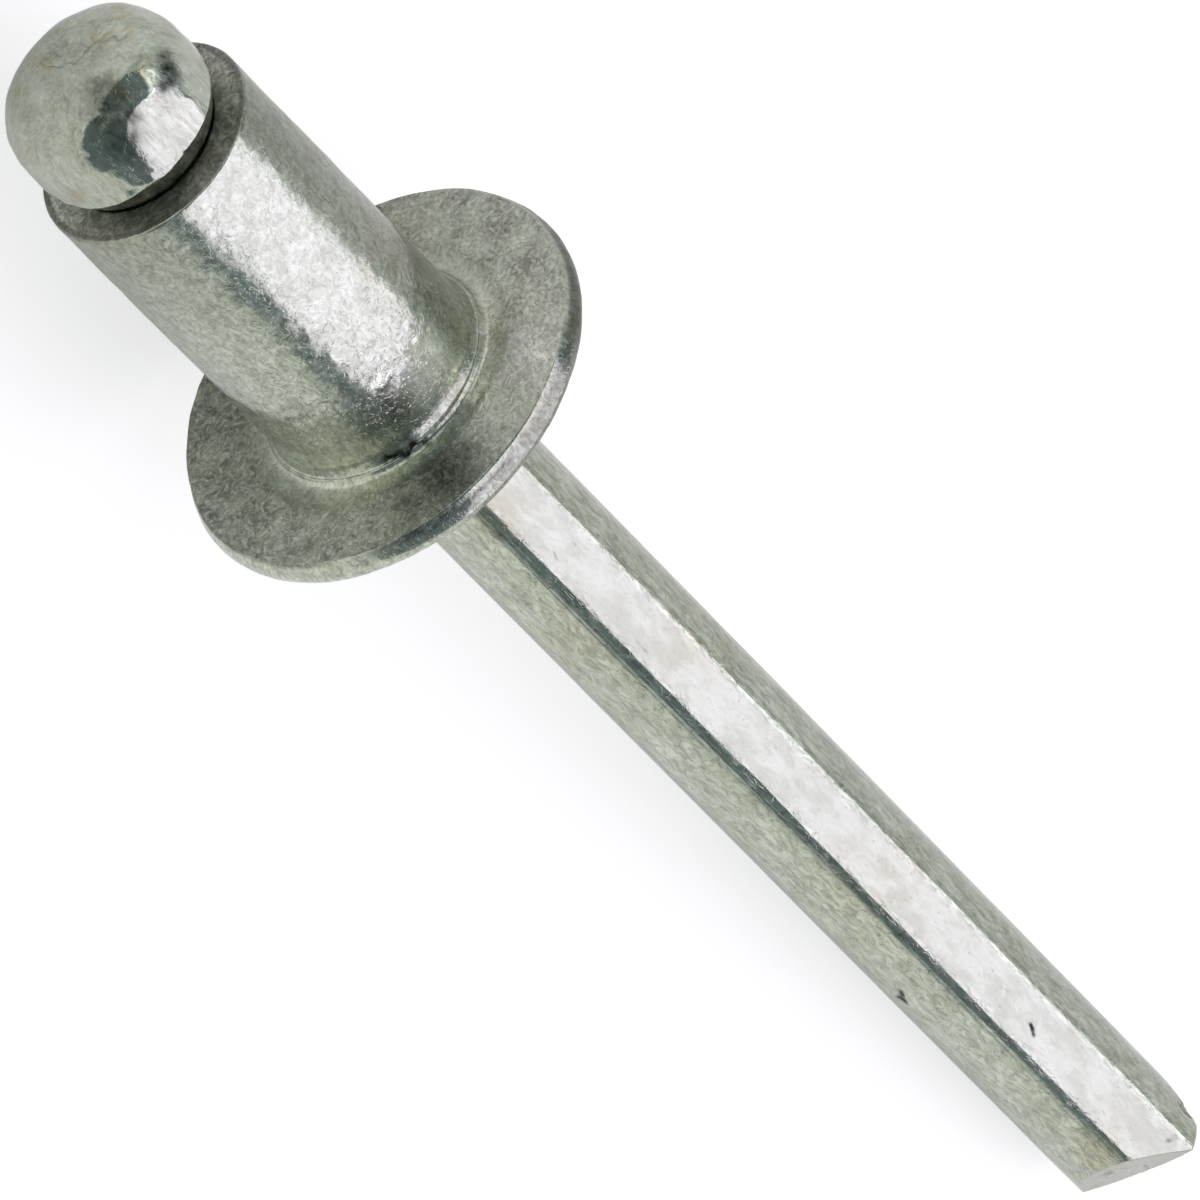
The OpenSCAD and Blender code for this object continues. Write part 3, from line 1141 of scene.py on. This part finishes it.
# The softbox: its direction about the rivet's axis, as an angle from the blind end and a turn from up,
# the angles under which its half sides are seen, all in degrees, and its distance in metres
BOX_POLAR = 108.0
BOX_TURN = -27.2
BOX_HALF_TURN = 37.2
BOX_HALF_POLAR = 46.5
BOX_DISTANCE = 0.8


def about_axis(polar, turn):
    """The direction at an angle from the blind end, turned about the rivet's axis from up, in degrees."""
    across = math.cos(math.radians(turn)) * UP - math.sin(math.radians(turn)) * SIDE
    return math.cos(math.radians(polar)) * BLIND + math.sin(math.radians(polar)) * across


def softbox(radiance, color):
    """A rectangular light that faces the seat's middle, with its sides along its turn about the axis
    and along its angle from the blind end."""
    direction = about_axis(BOX_POLAR, BOX_TURN)
    around = about_axis(BOX_POLAR, BOX_TURN + 1) - about_axis(BOX_POLAR, BOX_TURN - 1)
    around /= np.linalg.norm(around)
    along = np.cross(direction, around)
    light = bpy.data.lights.new("softbox", "AREA")
    light.shape = "RECTANGLE"
    light.size = 2 * BOX_DISTANCE * math.tan(math.radians(BOX_HALF_TURN))
    light.size_y = 2 * BOX_DISTANCE * math.tan(math.radians(BOX_HALF_POLAR))
    light.energy = radiance * math.pi * light.size * light.size_y
    light.color = color
    lamp = bpy.data.objects.new("softbox", light)
    place = np.eye(4)
    place[:3, :3] = np.stack([around, along, direction], 1)
    place[:3, 3] = SEAT + BOX_DISTANCE * direction
    lamp.matrix_world = Matrix(place.tolist())
    lamp.visible_camera = False
    bpy.context.scene.collection.objects.link(lamp)


def studio_world():
    """A pale horizon, dimmer on the softbox's side, under a dim ceiling, which begins lower on that side,
    and there a bright wall towards the blind end. All follow from the parts of a ray's direction."""
    bright_side = (1.0, 0.99, 0.96, 1)
    dim_side = (0.62, 0.64, 0.62, 1)
    ceiling = (0.20, 0.25, 0.27, 1)
    ceiling_drop = 0.32
    wall = (1.6, 1.6, 1.6, 1)
    world = bpy.data.worlds.new("Studio")
    bpy.context.scene.world = world
    world.use_nodes = True
    tree = world.node_tree
    tree.nodes.clear()
    direction = node(tree, "SeparateXYZ", {0: node(tree, "TexCoord").outputs["Generated"]})
    x, y, z = direction.outputs
    horizon = blended(tree, eased(tree, y, -0.3, 0.3), bright_side, dim_side)
    raised = math_node(tree, "ADD", z, eased(tree, y, 0.0, 0.4, 0.0, ceiling_drop))
    sky = blended(tree, eased(tree, raised, 0.43, 0.57), horizon, ceiling)
    on_wall = math_node(tree, "MULTIPLY", eased(tree, y, 0.4, 0.7), eased(tree, x, -0.5, -0.1, 1.0, 0.0))
    on_wall = math_node(tree, "MULTIPLY", on_wall, eased(tree, z, 0.15, 0.4))
    back = node(tree, "Background", {"Color": blended(tree, on_wall, sky, wall)})
    node(tree, "OutputWorld", {"Surface": back.outputs["Background"]})


def floor_material(color):
    """Pale matt floor, whose own light for the eye and for reflections lifts it to white, and which
    keeps the rivet's shadow. In reflections the softbox's side is dimmer, as the horizon is."""
    reflected_color = (0.81, 0.83, 0.745, 1)
    seen_lift = 0.55
    far_lift = 0.2
    near_lift = 0.0
    fade_from = -8 * MM
    material = new_material("studio_floor")
    tree = material.node_tree
    path = node(tree, "LightPath").outputs
    paint = blended(tree, path["Is Glossy Ray"], solid(color), reflected_color)
    matt = node(tree, "BsdfDiffuse", {"Color": paint})
    across = node(tree, "SeparateXYZ", {0: node(tree, "TexCoord").outputs["Object"]}).outputs["Y"]
    reflected = math_node(tree, "MAXIMUM", path["Is Glossy Ray"], path["Is Transmission Ray"])
    reflected_lift = eased(tree, across, fade_from, 0.0, far_lift, near_lift)
    reflected_lift = math_node(tree, "MULTIPLY", reflected, reflected_lift)
    camera_lift = math_node(tree, "MULTIPLY", path["Is Camera Ray"], seen_lift)
    lift = math_node(tree, "MAXIMUM", reflected_lift, camera_lift)
    glow = node(tree, "Emission", {"Color": (1, 1, 1, 1), "Strength": lift})
    both = node(tree, "AddShader", {0: matt.outputs[0], 1: glow.outputs[0]})
    node(tree, "OutputMaterial", {"Surface": both.outputs[0]})
    return material


class RIVET_OT_stage(bpy.types.Operator):
    """Sets the floor, the light and the camera"""

    bl_idname = "rivet.stage"
    bl_label = "Studio"

    def execute(self, context):
        studio = context.scene.rivet_studio
        half = 4.0
        mesh = bpy.data.meshes.new("studio_floor")
        corners = [(-half, -half, 0), (half, -half, 0), (half, half, 0), (-half, half, 0)]
        mesh.from_pydata(corners, [], [(0, 1, 2, 3)])
        floor = bpy.data.objects.new("studio_floor", mesh)
        context.scene.collection.objects.link(floor)
        mesh.materials.append(floor_material(studio.floor_color))
        studio_world()
        softbox(studio.box_radiance, studio.box_color)
        right, down, forward = camera_axes()
        camera = bpy.data.objects.new("camera", bpy.data.cameras.new("camera"))
        camera.data.sensor_width = SENSOR
        camera.data.lens = LENS
        camera.data.clip_start = 0.01
        camera.data.clip_end = 20
        place = np.eye(4)
        place[:3, :3] = np.stack([right, -down, -forward], 1)
        place[:3, 3] = SEAT - MM * (SEAT_RIGHT * right + SEAT_DOWN * down + CAMERA_DISTANCE * forward)
        camera.matrix_world = Matrix(place.tolist())
        context.scene.collection.objects.link(camera)
        context.scene.camera = camera
        context.scene.view_settings.view_transform = "Standard"
        return {"FINISHED"}


class VIEW3D_PT_rivet(bpy.types.Panel):
    """Lists the rivet's pieces and its studio"""

    bl_label = "Blind Rivet"
    bl_space_type = "VIEW_3D"
    bl_region_type = "UI"
    bl_category = "Rivet"

    def draw(self, context):
        for step in STEPS:
            self.layout.operator(step.bl_idname)


STEPS = (RIVET_OT_stage, RIVET_OT_body, RIVET_OT_mandrel)
GROUPS = {"rivet_sizes": RivetSizes, "rivet_finish": RivetFinish, "rivet_studio": RivetStudio}


def register():
    for kept in (*GROUPS.values(), *STEPS, VIEW3D_PT_rivet):
        bpy.utils.register_class(kept)
    for name, group in GROUPS.items():
        setattr(bpy.types.Scene, name, PointerProperty(type=group))


def unregister():
    for name in GROUPS:
        delattr(bpy.types.Scene, name)
    for kept in reversed((*GROUPS.values(), *STEPS, VIEW3D_PT_rivet)):
        bpy.utils.unregister_class(kept)


def main():
    register()
    bpy.ops.rivet.stage()
    bpy.ops.rivet.body()
    bpy.ops.rivet.mandrel()


if __name__ == "__main__":
    main()
